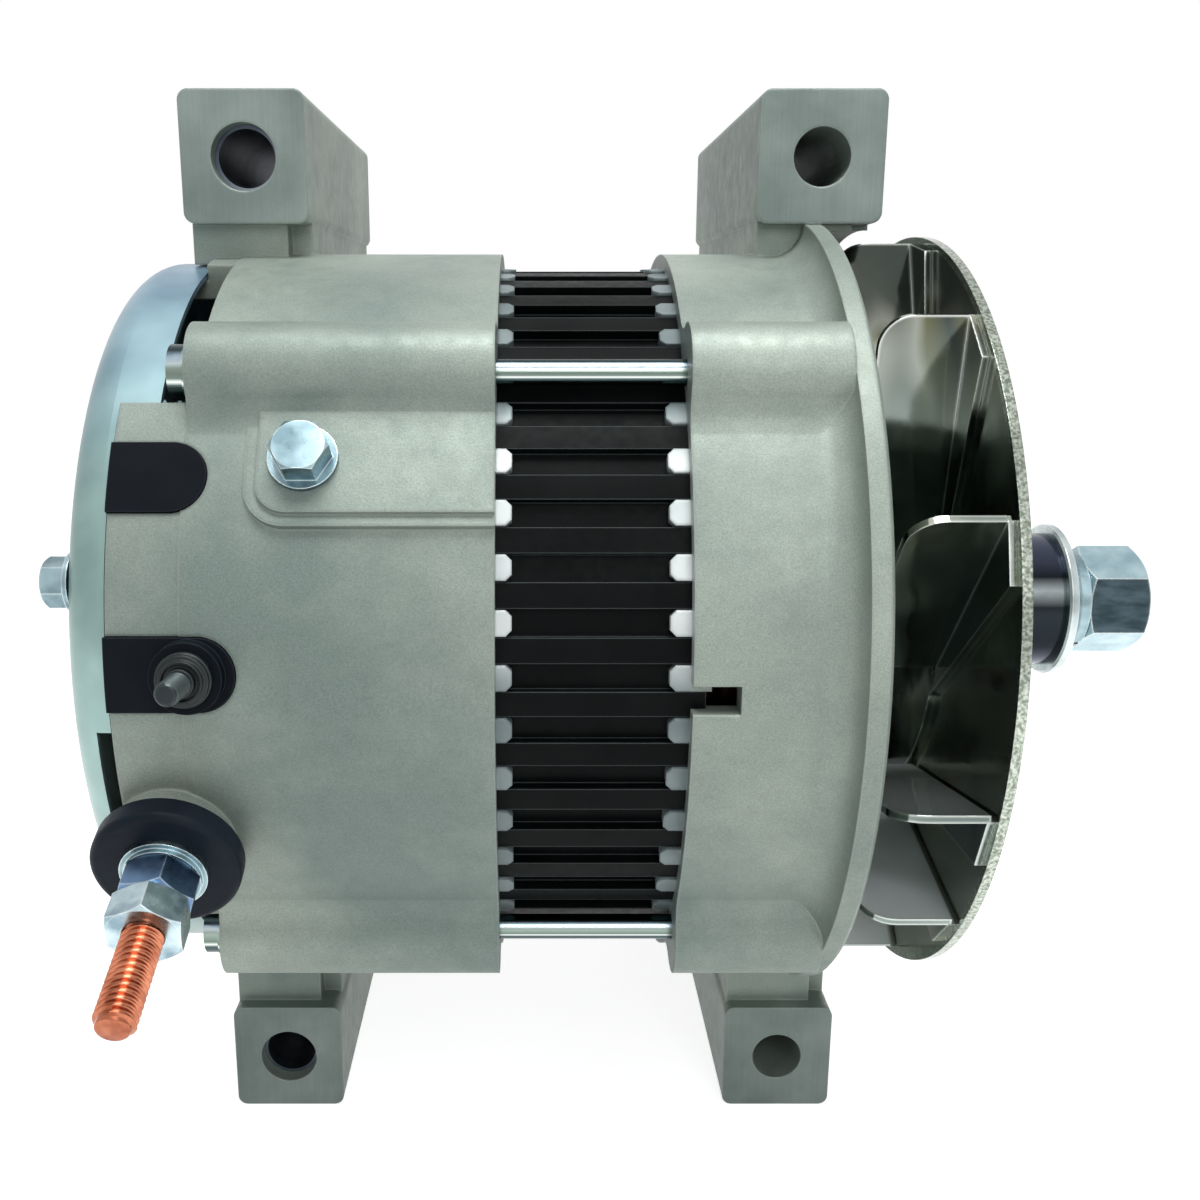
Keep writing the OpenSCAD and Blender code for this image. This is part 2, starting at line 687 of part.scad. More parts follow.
module heat_sink(x) along(x, sink_t) difference() {
    intersection() {
        circle(sink_r1);
        sector(sink_a0, sink_a1, sink_r1 + 30);
    }
    circle(sink_r0);
    for (a = sink_screw_angles) rotate(180 - a) translate([wall_boss_r, 0]) circle(2.6);
    for (a = cover_screw_angles) rotate(180 - a) translate([cover_screw_circle, 0]) circle(6.2);
}

module negative_heat_sink() color("silver") part_frame() difference() {
    heat_sink(negative_x);
    for (a = diode_angles) at_angle(a)
        translate([0, -diode_r, 0]) rod(negative_x - cut, sink_t + 2 * cut, 6.4);
}

module positive_heat_sink() color("lightgray") part_frame() difference() {
    heat_sink(positive_x);
    for (a = diode_angles) at_angle(a)
        translate([0, -diode_r, 0]) rod(positive_x - cut, sink_t + 2 * cut, 6.4);
}

module heat_sink_insulators() color("saddlebrown") part_frame()
    for (a = sink_screw_angles) at_angle(a) translate([0, -wall_boss_r, 0])
        tube(positive_x + sink_t, sink_gap, 5.5, 2.3);

module rectifier_diodes() color("dimgray") part_frame()
    for (a = diode_angles) at_angle(a) translate([0, -diode_r, 0]) {
        rod(negative_x, sink_t, 6.35);
        rod(positive_x, sink_t, 6.35);
        rod(positive_x - 1, negative_x - positive_x + 1, 1);
    }

module rectifier_screws() color("gray") part_frame()
    for (a = sink_screw_angles) at_angle(a) translate([0, -wall_boss_r, 0]) {
        rod(positive_x, chamber_x - positive_x, 2.2);
        translate([positive_x, 0, 0]) rotate([0, -90, 0]) hex_body(3, 7, false);
    }

bus_r = output_head_r - 3;
module output_bus_bar() color("peru") part_frame() {
    at_output() translate([output_x - 5, -bus_r, -6]) cube([positive_x - output_x + 5, 2.5, 12]);
    along(positive_x - 2, 2) intersection() {
        difference() {
            circle(bus_r);
            circle(bus_r - 10.5);
        }
        sector(-48, 5 - output_angle, 120);
    }
}

regulator_angle = 33;
module regulator() color("#202024") part_frame() at_angle(regulator_angle) {
    translate([regulator_x, -regulator_r1, -13])
        cube([chamber_x - regulator_x, regulator_r1 - regulator_r0, 26]);
    translate([regulator_x - 2, 5 - regulator_r1, -9]) cube([2.2, regulator_r1 - regulator_r0 - 12, 18]);
}
regulator_x = chamber_x - 13;
regulator_r0 = 32;
regulator_r1 = chamber_r - 12;

module regulator_screws() color("gray") part_frame() at_angle(regulator_angle)
    for (z = [-9.5, 9.5])
        translate([regulator_x, -regulator_r0 - 3.5, z]) rotate([0, -90, 0]) cylinder(h = 2, r = 2.8);

// Brush gear: the brushes press down on the slip rings from above
brush_w = 4.6;
brush_d = 8;
brush_h = 16;
brush_gap = 0.1;
ring_gap = 2;
inner_ring_x = chamber_x - 6.5 - ring_w;
outer_ring_x = inner_ring_x - ring_gap - ring_w;
sleeve_x = outer_ring_x - 1;
holder_z0 = ring_r + 3;
holder_z1 = holder_z0 + 27;
spring_top = holder_z1 - 3;
brush_z0 = ring_r + 0.1;

module brush(x) difference() {
    translate([x + ring_w / 2 - brush_w / 2, -brush_d / 2, brush_z0 - 1.5]) cube([brush_w, brush_d, brush_h]);
    rod(x - cut, ring_w + 2 * cut, ring_r + 0.1);
}

module brush_holder() color("#26262a") part_frame() difference() {
    union() {
        translate([outer_ring_x - 2, -8, holder_z0])
            cube([rear_bearing_x - 0.5 - outer_ring_x + 2, 16, holder_z1 - holder_z0]);
        translate([outer_ring_x - 2, -8, holder_z0 + 12])
            cube([chamber_x - outer_ring_x + 2, 16, holder_z1 - holder_z0 - 12]);
        translate([chamber_x - 4, -17, holder_z0 + 12]) cube([4, 34, 12]);
    }
    for (x = [inner_ring_x, outer_ring_x])
        translate([x + ring_w / 2 - brush_w / 2 - brush_gap, -brush_d / 2 - brush_gap, holder_z0 - cut])
            cube([brush_w + 2 * brush_gap, brush_d + 2 * brush_gap, spring_top - holder_z0 + cut]);
}

module brush_holder_screws() color("gray") part_frame()
    for (y = [-12.5, 12.5]) translate([chamber_x - 4, y, holder_z0 + 18]) rotate([0, -90, 0])
        cylinder(h = 2.2, r = 3);

module inner_brush() color("#333333") part_frame() brush(inner_ring_x);
module outer_brush() color("#333333") part_frame() brush(outer_ring_x);

// A helical spring: rings of a tube swept along the coil's centre line
module coil_spring(length, r, wire, turns) {
    sides = 6;
    steps = turns * 12;
    rings = [for (i = [0:steps]) let (a = 360 * turns * i / steps, z = wire + (length - 2 * wire) * i / steps)
        for (k = [0:sides - 1]) let (b = 360 * k / sides, rr = r + wire * cos(b))
            [rr * cos(a), rr * sin(a), z + wire * sin(b)]];
    polyhedron(rings, concat([[for (k = [0:sides - 1]) k]],
        [for (i = [0:steps - 1], k = [0:sides - 1]) let (n = (k + 1) % sides, p = i * sides)
            [p + k, p + sides + k, p + sides + n, p + n]],
        [[for (k = [sides - 1:-1:0]) steps * sides + k]]));
}

brush_top = brush_z0 - 1.5 + brush_h;
module brush_spring(x) translate([x + ring_w / 2, 0, brush_top])
    coil_spring(spring_top - brush_top, 1.7, 0.35, 5);
module inner_brush_spring() color("silver") part_frame() brush_spring(inner_ring_x);
module outer_brush_spring() color("silver") part_frame() brush_spring(outer_ring_x);

// Bearings: two races, a ball set and a cage

module outer_race(x, w, r_out, pitch_r, ball_r) lathe() difference() {
    translate([pitch_r + ball_r * 0.42, x]) square([r_out - pitch_r - ball_r * 0.42, w]);
    translate([pitch_r, x + w / 2]) circle(ball_r + 0.05);
}

module inner_race(x, w, r_in, pitch_r, ball_r) lathe() difference() {
    translate([r_in, x]) square([pitch_r - ball_r * 0.42 - r_in, w]);
    translate([pitch_r, x + w / 2]) circle(ball_r + 0.05);
}

module ball_set(x, w, pitch_r, ball_r, n)
    for (i = [0:n - 1]) at_angle(i * 360 / n) translate([x + w / 2, -pitch_r, 0]) sphere(ball_r);

// The cage has a round pocket through its wall for each ball
module ball_cage(x, w, pitch_r, ball_r, n) {
    half = ball_r + 1.2;
    difference() {
        tube(x + w / 2 - half, 2 * half, pitch_r + ball_r * 0.28, pitch_r - ball_r * 0.28);
        for (i = [0:n - 1]) at_angle(i * 360 / n)
            spoke(x + w / 2, pitch_r - ball_r, pitch_r + ball_r, ball_r + 0.15);
    }
}

front_ball_n = 8;
rear_ball_n = 9;
module front_bearing_outer_race() color("silver") part_frame()
    outer_race(front_bearing_x, front_bearing_w, front_outer_r, front_pitch_r, front_ball_r);
module front_bearing_inner_race() color("silver") part_frame()
    inner_race(front_bearing_x, front_bearing_w, front_bore_r + 0.02, front_pitch_r, front_ball_r);
module front_bearing_balls() color("gainsboro") part_frame()
    ball_set(front_bearing_x, front_bearing_w, front_pitch_r, front_ball_r, front_ball_n);
module front_bearing_cage() color("goldenrod") part_frame()
    ball_cage(front_bearing_x, front_bearing_w, front_pitch_r, front_ball_r, front_ball_n);
module rear_bearing_outer_race() color("silver") part_frame()
    outer_race(rear_bearing_x, rear_bearing_w, rear_outer_r, rear_pitch_r, rear_ball_r);
module rear_bearing_inner_race() color("silver") part_frame()
    inner_race(rear_bearing_x, rear_bearing_w, rear_bore_r + 0.02, rear_pitch_r, rear_ball_r);
module rear_bearing_balls() color("gainsboro") part_frame()
    ball_set(rear_bearing_x, rear_bearing_w, rear_pitch_r, rear_ball_r, rear_ball_n);
module rear_bearing_cage() color("goldenrod") part_frame()
    ball_cage(rear_bearing_x, rear_bearing_w, rear_pitch_r, rear_ball_r, rear_ball_n);

// The retainer plate holds the front bearing's outer race in its bore
retainer_t = 2.5;
retainer_circle_r = front_outer_r + 3.5;
module bearing_retainer() color("silver") part_frame() difference() {
    tube(front_bearing_x - retainer_t, retainer_t, front_outer_r + 6, front_pitch_r + 3);
    for (a = [0:90:270]) at_angle(a + 20)
        translate([0, -retainer_circle_r, 0]) rod(front_bearing_x - retainer_t - cut, 20, 2);
}

module retainer_screws() color("gray") part_frame()
    for (a = [0:90:270]) at_angle(a + 20) translate([0, -retainer_circle_r, 0]) {
        rod(front_bearing_x - retainer_t, retainer_t + 10, 1.95);
        rod(front_bearing_x - retainer_t - 1.6, 1.6, 2.9);
    }

// Rotor

module rotor_shaft() color("silver") part_frame() difference() {
    lathe() polygon([[0, sleeve_x], [7, sleeve_x], [7, rear_bearing_x - 1], [rear_bore_r, rear_bearing_x - 1],
        [rear_bore_r, rear_bearing_end], [shaft_r, rear_bearing_end], [shaft_r, front_bearing_x],
        [front_bore_r, front_bearing_x], [front_bore_r, front_bearing_end], [nose_r, front_bearing_end],
        [nose_r, cone_x + 2], [thread_r, cone_x + 2], [thread_r, shaft_end - 1], [thread_r - 1, shaft_end],
        [0, shaft_end]]);
    key_shape(0);
}

key_len = 20;
key_w = 5;
module key_shape(gap) translate([spacer_x + 8 + gap, -nose_r - 2.5, gap - key_w / 2])
    cube([key_len - 2 * gap, 5.5, key_w - 2 * gap]);
module shaft_key() color("dimgray") part_frame() key_shape(seat);

// A pole piece: a disc with tapered claws that reach over the coil along +X
module claw_pole() {
    reach = rotor_len - 2;
    claw_root = 21;
    claw_tip = 8.6;
    half_root = pole_r * tan(claw_root / 2);
    half_tip = pole_r * tan(claw_tip / 2);
    difference() {
        union() {
            rod(0.4, pole_disc - 0.4, disc_pole_r);
            intersection() {
                lathe() polygon([[30, 0], [pole_r - 3, 0], [pole_r, 3], [pole_r, reach - 1.5], [pole_r - 1.5, reach],
                    [pole_r - 5, reach], [pole_r - 11.4, pole_disc - 2], [30, pole_disc - 2]]);
                for (i = [0:claw_n - 1]) at_angle(i * 360 / claw_n)
                    translate([0, -20, 0]) rotate([90, 0, 0]) linear_extrude(pole_r)
                        polygon([[-cut, -half_root], [pole_disc - 2, -half_root], [reach + cut, -half_tip],
                            [reach + cut, half_tip], [pole_disc - 2, half_root], [-cut, half_root]]);
            }
        }
        rod(-cut, pole_disc + 2 * cut, shaft_r + 0.02);
    }
}

module rear_claw_pole() color("dimgray") part_frame() translate([rotor_x0, 0, 0]) claw_pole();
module front_claw_pole() color("dimgray") part_frame()
    translate([rotor_x1, 0, 0]) mirror([1, 0, 0]) at_angle(180 / claw_n) claw_pole();

coil_x0 = rotor_x0 + pole_disc;
coil_x1 = rotor_x1 - pole_disc;
bobbin_t = 1.5;
coil_r = pole_r - 13;
module rotor_core() color("gray") part_frame() tube(coil_x0, coil_x1 - coil_x0, core_r, shaft_r + 0.02);
module field_bobbin() color("ivory") part_frame() {
    tube(coil_x0, coil_x1 - coil_x0, core_r + 2, core_r + seat);
    for (x = [coil_x0, coil_x1 - bobbin_t]) tube(x, bobbin_t, coil_r, core_r + seat);
}
module field_coil() color("peru") part_frame()
    tube(coil_x0 + bobbin_t, coil_x1 - coil_x0 - 2 * bobbin_t, coil_r - 1, core_r + 2);

module slip_ring_sleeve() color("#3b2a20") part_frame()
    tube(sleeve_x, rear_bearing_x - 1.5 - sleeve_x, ring_r - 2, 7.02);
module slip_rings() color("peru") part_frame()
    for (x = [inner_ring_x, outer_ring_x]) tube(x, ring_w, ring_r, ring_r - 2 + 0.02);

// Fan, collar and the stack on the nose

module fan_collar() color("silver") part_frame()
    tube(front_bearing_end, star_x - front_bearing_end, 17, nose_r + 0.02);

blade_root_r = fan_r - 1.5;
module fan_disc() color("gainsboro") part_frame() tube(disc_x, fan_t, fan_r, nose_r + 0.02);

// The foot of one arm of the star, which lies on the disc
module fan_foot() {
    heel = [-blade_root_r, 0] + (blade_len + 20) * [cos(blade_lean), -sin(blade_lean)];
    polygon([[-blade_root_r, 0], heel, heel + [16, -6], [-blade_root_r * 0.985, -blade_root_r * 0.14]]);
}

// The blade that is folded up along the foot's leading edge
module fan_blade() translate([0, -blade_root_r, 0]) rotate([-blade_lean, 0, 0])
    translate([star_x - blade_h, 0, 0]) difference() {
        cube([blade_h + blade_t / 2, blade_len, blade_t]);
        translate([0, 0, -cut]) difference() {
            translate([-cut, -cut, 0]) cube([7 + cut, 7 + cut, blade_t + 2 * cut]);
            translate([7, 7, 0]) cylinder(h = blade_t + 2 * cut, r = 7);
        }
    }

module fan_blades() color("gainsboro") part_frame() {
    along(star_x, blade_t) difference() {
        union() {
            circle(star_hub_r);
            for (a = blade_angles) rotate(-a) fan_foot();
        }
        circle(nose_r + 0.02);
    }
    for (a = blade_angles) at_angle(a) translate([0, 0, -0.3]) fan_blade();
}
star_hub_r = 46;

module pulley_spacer() color("silver") part_frame() difference() {
    tube(spacer_x, spacer_len, spacer_r, nose_r + 0.02);
    key_shape(-seat);
}

module cone_washer() color("silver") part_frame() difference() {
    lathe() polygon([[0, cone_x], [cone_r - 0.5, cone_x], [cone_r, cone_x + 0.5], [cone_r, cone_x + cone_t * 0.42],
        [cone_top_r, cone_x + cone_t], [0, cone_x + cone_t]]);
    rod(cone_x - cut, cut + 2.1, nose_r + 0.02);
    rod(cone_x, cone_t + cut, thread_r + 0.1);
}

// A split ring; the cut shows at the lower front
module spring_washer() color("silver") part_frame() difference() {
    tube(spring_x, spring_t, spring_r, thread_r + 0.15);
    at_angle(-62) translate([spring_x - 3, -spring_r - cut, 0]) rotate([0, -22, 0]) translate([0, 0, -0.8])
        cube([spring_t + 6, spring_r - thread_r + 2 * cut, 1.6]);
}

module shaft_nut() color("silver") part_frame() difference() {
    translate([nut_x, 0, 0]) rotate([0, 90, 0]) rotate(7.6) hex_body(nut_len, nut_af);
    rod(nut_x - cut, nut_len + 2 * cut, thread_r + 0.02);
}

front_housing();
rear_housing();
mount_bushings();
stator_core();
stator_winding();
through_bolts();
rear_cover();
cover_screws();
pad_bolt();
blanking_plug();
signal_insulator();
signal_collar();
signal_stud();
output_insulator();
output_washers();
output_lower_nut();
output_upper_nut();
output_stud();
output_bus_bar();
negative_heat_sink();
positive_heat_sink();
heat_sink_insulators();
rectifier_diodes();
rectifier_screws();
regulator();
regulator_screws();
brush_holder();
brush_holder_screws();
inner_brush();
outer_brush();
inner_brush_spring();
outer_brush_spring();
front_bearing_outer_race();
front_bearing_cage();
front_bearing_balls();
front_bearing_inner_race();
bearing_retainer();
retainer_screws();
rear_bearing_outer_race();
rear_bearing_cage();
rear_bearing_balls();
rear_bearing_inner_race();
rotor_shaft();
shaft_key();
front_claw_pole();
rear_claw_pole();
rotor_core();
field_bobbin();
field_coil();
slip_ring_sleeve();
slip_rings();
fan_collar();
fan_blades();
fan_disc();
pulley_spacer();
cone_washer();
spring_washer();
shaft_nut();
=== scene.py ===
"""Dresses the engine alternator: its finishes, its threads and the studio that it stands in."""

import json
import math

import bpy
from mathutils import Matrix, Vector


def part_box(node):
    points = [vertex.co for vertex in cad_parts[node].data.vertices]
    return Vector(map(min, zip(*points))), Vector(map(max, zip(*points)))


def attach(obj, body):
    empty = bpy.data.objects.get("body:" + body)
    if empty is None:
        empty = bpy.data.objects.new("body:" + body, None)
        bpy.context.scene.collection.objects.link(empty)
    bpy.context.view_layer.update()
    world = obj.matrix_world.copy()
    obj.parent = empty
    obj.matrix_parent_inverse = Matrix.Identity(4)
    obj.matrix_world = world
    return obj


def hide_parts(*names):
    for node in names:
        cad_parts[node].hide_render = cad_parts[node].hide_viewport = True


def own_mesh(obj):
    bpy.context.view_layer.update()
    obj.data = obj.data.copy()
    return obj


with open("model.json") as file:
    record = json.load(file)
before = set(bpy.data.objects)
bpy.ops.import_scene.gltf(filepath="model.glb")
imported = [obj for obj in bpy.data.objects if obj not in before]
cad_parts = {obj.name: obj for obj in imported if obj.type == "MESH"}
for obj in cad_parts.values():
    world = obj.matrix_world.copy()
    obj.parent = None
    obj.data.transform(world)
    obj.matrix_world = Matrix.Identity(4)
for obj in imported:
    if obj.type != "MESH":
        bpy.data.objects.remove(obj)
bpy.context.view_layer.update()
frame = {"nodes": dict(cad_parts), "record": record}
nodes = frame["nodes"]

# Lengths are in metres. The shaft's axis runs along X through this point.
SHAFT = Vector((0.0, -0.092, 0.00785))
FLOOR_Z = -0.129

# The main terminal stands on a radius below the front side, the small one just above it.
OUTPUT_ANGLE = math.radians(-21)
SIGNAL_ANGLE = math.radians(3.4)
OUTPUT_X = -0.072
SIGNAL_X = -0.0655

# The castings' fingers lie between these stations along the shaft.
FINGERS_REAR_X = -0.0074
FINGERS_FRONT_X = 0.0308

# The machined lug faces lie in front of this plane, and farther than this above and below.
LUG_FACE_Y = -0.1086
LUG_Z = 0.0995

# The fan disc's outer face and rim
DISC_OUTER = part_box("fan_disc")[1][0]
DISC_RIM_R = 0.0882


def outward(angle):
    """The direction that points out of the front side at an angle above it."""
    return Vector((0.0, -math.cos(angle), math.sin(angle)))


def upright(angle):
    """Turns the Z axis of a new piece onto the outward direction."""
    return outward(angle).to_track_quat("Z", "X").to_euler()


def drop_selection():
    bpy.ops.object.select_all(action="DESELECT")


def pick(piece):
    drop_selection()
    piece.select_set(True)
    bpy.context.view_layer.objects.active = piece


def settle(piece):
    """Puts the piece's place into its mesh, so that its object sits at the origin."""
    pick(piece)
    bpy.ops.object.transform_apply(location=True, rotation=True, scale=True)


def apply_modifiers(piece):
    pick(piece)
    for modifier in list(piece.modifiers):
        bpy.ops.object.modifier_apply(modifier=modifier.name)


def join(pieces, name):
    drop_selection()
    for piece in pieces:
        piece.select_set(True)
    bpy.context.view_layer.objects.active = pieces[0]
    bpy.ops.object.join()
    pieces[0].name = name
    pieces[0].data.name = name
    return pieces[0]


def smooth(angle):
    """Smooths the selected piece, apart from edges that turn by more than the angle in degrees."""
    bpy.ops.object.shade_smooth_by_angle(angle=math.radians(angle))


def dress(piece, finish):
    piece.data.materials.clear()
    piece.data.materials.append(finish)


# Finishes


class Finish:
    """A material whose pattern follows the piece's own place."""

    # The colour sockets of a mix node, which share their names with its other sockets
    FIRST, SECOND, RESULT = 6, 7, 2

    def __init__(self, name):
        self.material = bpy.data.materials.new(name)
        self.material.use_nodes = True
        self.tree = self.material.node_tree
        self.shader = self.tree.nodes["Principled BSDF"]
        coordinates = self.tree.nodes.new("ShaderNodeTexCoord")
        self.place = coordinates.outputs["Object"]
        self.direction = coordinates.outputs["Normal"]

    def put(self, socket, value):
        self.shader.inputs[socket].default_value = value

    def link(self, source, socket):
        self.tree.links.new(source, socket)

    def calculate(self, kind, operation, first, second=None):
        """A maths node of one or two sources, where the second may be a plain value."""
        step = self.tree.nodes.new(kind)
        step.operation = operation
        self.link(first, step.inputs[0])
        if isinstance(second, bpy.types.NodeSocket):
            self.link(second, step.inputs[1])
        elif second is not None:
            step.inputs[1].default_value = second
        return step

    def rise(self, source, start, end, low=0.0, high=1.0):
        """Goes from low to high while the source goes from start to end."""
        spread = self.tree.nodes.new("ShaderNodeMapRange")
        limits = {"From Min": start, "From Max": end, "To Min": low, "To Max": high}
        for socket, value in limits.items():
            spread.inputs[socket].default_value = value
        self.link(source, spread.inputs["Value"])
        return spread.outputs["Result"]

    def noise(self, scale, detail=2.0, roughness=0.5, stretch=None):
        texture = self.tree.nodes.new("ShaderNodeTexNoise")
        texture.inputs["Scale"].default_value = scale
        texture.inputs["Detail"].default_value = detail
        texture.inputs["Roughness"].default_value = roughness
        source = self.place
        if stretch:
            mapping = self.tree.nodes.new("ShaderNodeMapping")
            mapping.inputs["Scale"].default_value = stretch
            self.link(source, mapping.inputs["Vector"])
            source = mapping.outputs["Vector"]
        self.link(source, texture.inputs["Vector"])
        return texture.outputs["Fac"]

    def ramp(self, source, stops):
        ramp = self.tree.nodes.new("ShaderNodeValToRGB")
        band = ramp.color_ramp
        while len(band.elements) < len(stops):
            band.elements.new(0.5)
        for element, (place, colour) in zip(band.elements, stops):
            element.position = place
            element.color = (*colour, 1.0)
        self.link(source, ramp.inputs["Fac"])
        return ramp.outputs["Color"]

    def patches(self, source, dark, light, low=0.36, high=0.64):
        """Two tones that run into each other where a noise goes from low to high."""
        return self.ramp(source, [(low, dark), (high, light)])

    def blend(self, share, first, second, way="MIX"):
        """Mixes two colours: the first where the share is 0, the second where it is 1."""
        mix = self.tree.nodes.new("ShaderNodeMix")
        mix.data_type = "RGBA"
        mix.blend_type = way
        mix.inputs["Factor"].default_value = 1.0
        if share:
            self.link(share, mix.inputs["Factor"])
        self.link(first, mix.inputs[self.FIRST])
        self.link(second, mix.inputs[self.SECOND])
        return mix.outputs[self.RESULT]

    def along(self, source, axis):
        """One part of a place or a direction."""
        split = self.tree.nodes.new("ShaderNodeSeparateXYZ")
        self.link(source, split.inputs["Vector"])
        return split.outputs[axis]

    def band(self, axis, start, end):
        """Rises from 0 to 1 between two stations along an axis."""
        return self.rise(self.along(self.place, axis), start, end)

    def bands(self, axis, start, end):
        """Rises from 0 to 1 between two distances on both sides of an axis's zero."""
        distance = self.calculate("ShaderNodeMath", "ABSOLUTE", self.along(self.place, axis))
        return self.rise(distance.outputs[0], start, end)

    def ring(self, start, end):
        """Rises from 0 to 1 between two distances from the shaft's axis."""
        kind = "ShaderNodeVectorMath"
        offset = self.calculate(kind, "SUBTRACT", self.place, SHAFT).outputs["Vector"]
        flat = self.calculate(kind, "MULTIPLY", offset, (0, 1, 1)).outputs["Vector"]
        distance = self.calculate(kind, "LENGTH", flat).outputs["Value"]
        return self.rise(distance, start, end)

    def facing(self, axis, start, end):
        """Rises from 0 to 1 as the piece's own surface turns along an axis."""
        return self.rise(self.along(self.direction, axis), start, end)

    def rounded(self, radius, samples):
        """The surface's direction, as if its edges were rounded."""
        soft = self.tree.nodes.new("ShaderNodeBevel")
        soft.samples = samples
        soft.inputs["Radius"].default_value = radius
        return soft.outputs["Normal"]

    def edges(self, radius, strength=1.0):
        """Rises to the strength along sharp edges, where the finishes get painted edge highlights.
        """
        true_normal = self.tree.nodes.new("ShaderNodeNewGeometry").outputs["True Normal"]
        soft_normal = self.rounded(radius, 6)
        likeness = self.calculate("ShaderNodeVectorMath", "DOT_PRODUCT", soft_normal, true_normal)
        return self.rise(likeness.outputs["Value"], 0.985, 0.9, 0.0, strength)

    def plain(self, colour):
        tone = self.tree.nodes.new("ShaderNodeRGB")
        tone.outputs[0].default_value = (*colour, 1.0)
        return tone.outputs[0]

    def both(self, first, second):
        """Where both of two shares are 1."""
        return self.calculate("ShaderNodeMath", "MULTIPLY", first, second).outputs[0]

    def colour(self, source):
        self.link(source, self.shader.inputs["Base Color"])

    def roughness(self, scale, low, high):
        """Changes the roughness from place to place."""
        source = self.rise(self.noise(scale), 0.3, 0.7, low, high)
        self.link(source, self.shader.inputs["Roughness"])

    def bumps(self, layers, edge=0.0):
        """Stacks bumps of (height source, strength, depth); edge rounds the corners' shading."""
        normal = self.rounded(edge, 4) if edge else None
        for source, strength, depth in layers:
            bump = self.tree.nodes.new("ShaderNodeBump")
            bump.inputs["Strength"].default_value = strength
            bump.inputs["Distance"].default_value = depth
            self.link(source, bump.inputs["Height"])
            if normal:
                self.link(normal, bump.inputs["Normal"])
            normal = bump.outputs["Normal"]
        self.link(normal, self.shader.inputs["Normal"])

    def dents(self):
        """The small dents of plated steel, with softly shaded edges."""
        self.bumps([(self.noise(260), 0.08, 0.0003)], edge=0.0003)


def blasted_casting():
    """Blasted aluminium, a blotched greenish grey; the lug faces and fingers are machined."""
    finish = Finish("blasted_casting")
    blotch = finish.patches(finish.noise(13, 6, 0.6), (0.19, 0.24, 0.22), (0.36, 0.41, 0.36))
    speck = finish.patches(finish.noise(3200), (0.78, 0.8, 0.79), (1, 1, 1), 0.35, 0.65)
    cast_colour = finish.blend(None, blotch, speck, "MULTIPLY")

    cutter = finish.noise(150, 3, stretch=(18, 1, 0.4))
    strokes = finish.patches(cutter, (0.93, 0.93, 0.93), (1, 1, 1), 0.35, 0.65)
    # The milled faces are a darker grey: their own tone, deepened as a painted dark reflection.
    milled_dark_reflection_tone = finish.patches(finish.noise(45, 5), (0.165, 0.21, 0.195), (0.25, 0.3, 0.28))
    milled_colour = finish.blend(None, milled_dark_reflection_tone, strokes, "MULTIPLY")
    milled = finish.both(
        finish.band("Y", LUG_FACE_Y, LUG_FACE_Y - 0.0003),
        finish.bands("Z", LUG_Z, LUG_Z + 0.0005),
    )
    colour = finish.blend(milled, cast_colour, milled_colour)
    # The paler edges are a painted highlight.
    colour = finish.blend(finish.edges(0.0007, 0.45), colour, finish.plain((0.5, 0.55, 0.5)))

    # The fingers are painted bright around the height that looks to the front, a painted highlight,
    # and grey above and below.
    grey = finish.patches(finish.noise(70), (0.11, 0.145, 0.15), (0.22, 0.265, 0.27), 0.35, 0.65)
    painted_finger_highlight = finish.patches(finish.noise(70), (0.5, 0.55, 0.55), (0.66, 0.7, 0.7), 0.35, 0.65)
    painted_highlight_band = finish.both(finish.band("Z", 0.006, 0.016), finish.band("Z", 0.062, 0.052))
    finger_colour = finish.blend(painted_highlight_band, grey, painted_finger_highlight)
    fingers = finish.both(
        finish.band("X", FINGERS_REAR_X, FINGERS_REAR_X + 0.0002),
        finish.band("X", FINGERS_FRONT_X, FINGERS_FRONT_X - 0.0002),
    )
    finish.colour(finish.blend(fingers, colour, finger_colour))

    finish.put("Metallic", 0.3)
    finish.put("Specular IOR Level", 0.3)
    finish.roughness(300, 0.42, 0.55)
    grain = finish.noise(2200)
    waves = finish.noise(90)
    finish.bumps([(grain, 0.22, 0.00015), (waves, 0.2, 0.0004)], edge=0.0009)
    return finish.material


def plated(name, light, dark, rough, tint_scale=30, rim=None, wavy=True):
    """Plated steel, with a slow change of tint over the surface and, where it is wavy, dents."""
    finish = Finish(name)
    tone = finish.patches(finish.noise(tint_scale, 3), dark, light)
    # A rim colour paints a highlight along the edges.
    if rim:
        tone = finish.blend(finish.edges(0.0005, 0.85), tone, finish.plain(rim))
    finish.colour(tone)
    finish.put("Metallic", 1.0)
    if wavy:
        finish.roughness(400, rough * 0.8, rough * 1.25)
        finish.dents()
    else:
        finish.roughness(20, rough * 0.95, rough * 1.05)
    return finish.material


